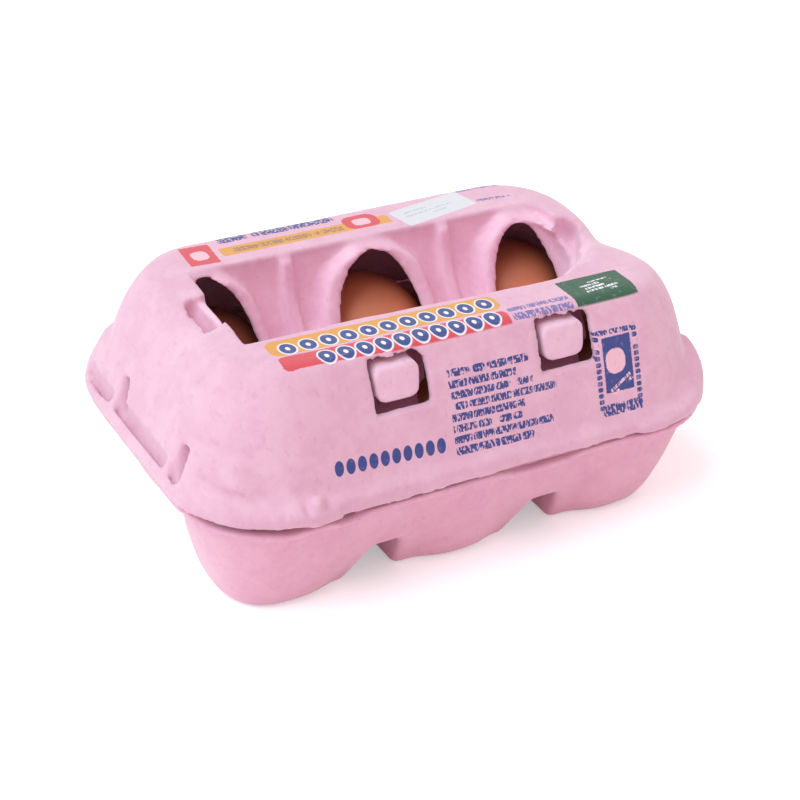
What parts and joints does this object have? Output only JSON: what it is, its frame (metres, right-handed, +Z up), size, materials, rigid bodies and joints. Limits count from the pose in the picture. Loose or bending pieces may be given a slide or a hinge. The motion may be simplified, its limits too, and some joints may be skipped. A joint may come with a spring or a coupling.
{
  "type": "egg carton",
  "caption": "Closed moulded pulp egg carton with view windows in a sunken valley along its lid, holding small brown eggs in two rows.",
  "frame": {"origin": "middle of the flat plane on which the tray's feet stand", "axes": "+X along the carton's length, +Y from the lock at the front to the hinge at the back, +Z up"},
  "size_m": [0.1572, 0.1066, 0.0661],
  "materials": {
    "pulp": "matte dyed paper pulp",
    "eggshell": "satin brown eggshell"
  },
  "bodies": {
    "base": {"tray": "pulp", "egg_front_left": "eggshell", "egg_front_middle": "eggshell", "egg_front_right": "eggshell", "egg_back_left": "eggshell", "egg_back_middle": "eggshell", "egg_back_right": "eggshell"},
    "lid": {"lid": "pulp"},
    "flap": {"lock_flap": "pulp"}
  },
  "joints": [
    {"name": "lid_hinge", "type": "hinge", "parent": "base", "child": "lid", "pos_m": [0, 0.0536, 0.0323], "axis": [-1, 0, 0], "range_deg": [0, 165]},
    {"name": "flap_fold", "type": "hinge", "parent": "base", "child": "flap", "pos_m": [0, -0.047, 0.0329], "axis": [-1, 0, 0], "range_deg": [0, 12], "stiffness_Nm_per_rad": 0.01, "springref_deg": -5.73}
  ]
}
